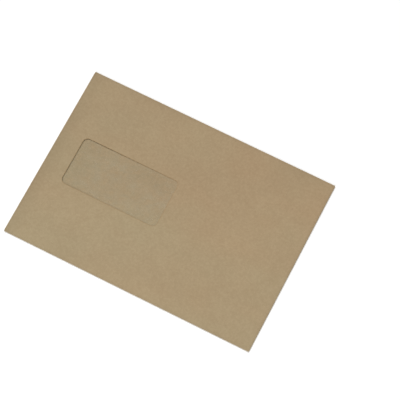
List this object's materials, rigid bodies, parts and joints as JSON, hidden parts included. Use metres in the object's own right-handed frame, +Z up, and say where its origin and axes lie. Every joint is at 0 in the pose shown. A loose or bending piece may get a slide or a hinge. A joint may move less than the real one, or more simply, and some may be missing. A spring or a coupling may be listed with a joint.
{
  "type": "window envelope",
  "caption": "Flat kraft paper pocket envelope with a rounded film window near its closed end and a gummed closure flap folded beneath its mouth end.",
  "frame": {"origin": "on the surface that the envelope rests on, below the middle of the pocket", "axes": "+X along the pocket towards its mouth fold, +Y across the pocket from the lower side fold to the upper one, +Z up out of the window side"},
  "size_m": [0.229, 0.162, 0.0008],
  "materials": {
    "kraft_paper": "matt brown kraft",
    "window_film": "clear glossy film",
    "dried_glue": "dried translucent glue",
    "dried_gum": "dried brown gum"
  },
  "bodies": {
    "root": {"blank": "kraft_paper", "window_film": "window_film", "film_glue": "dried_glue", "seam_glue_lower": "dried_glue", "seam_glue_upper": "dried_glue", "gum_strip": "dried_gum"}
  },
  "joints": []
}
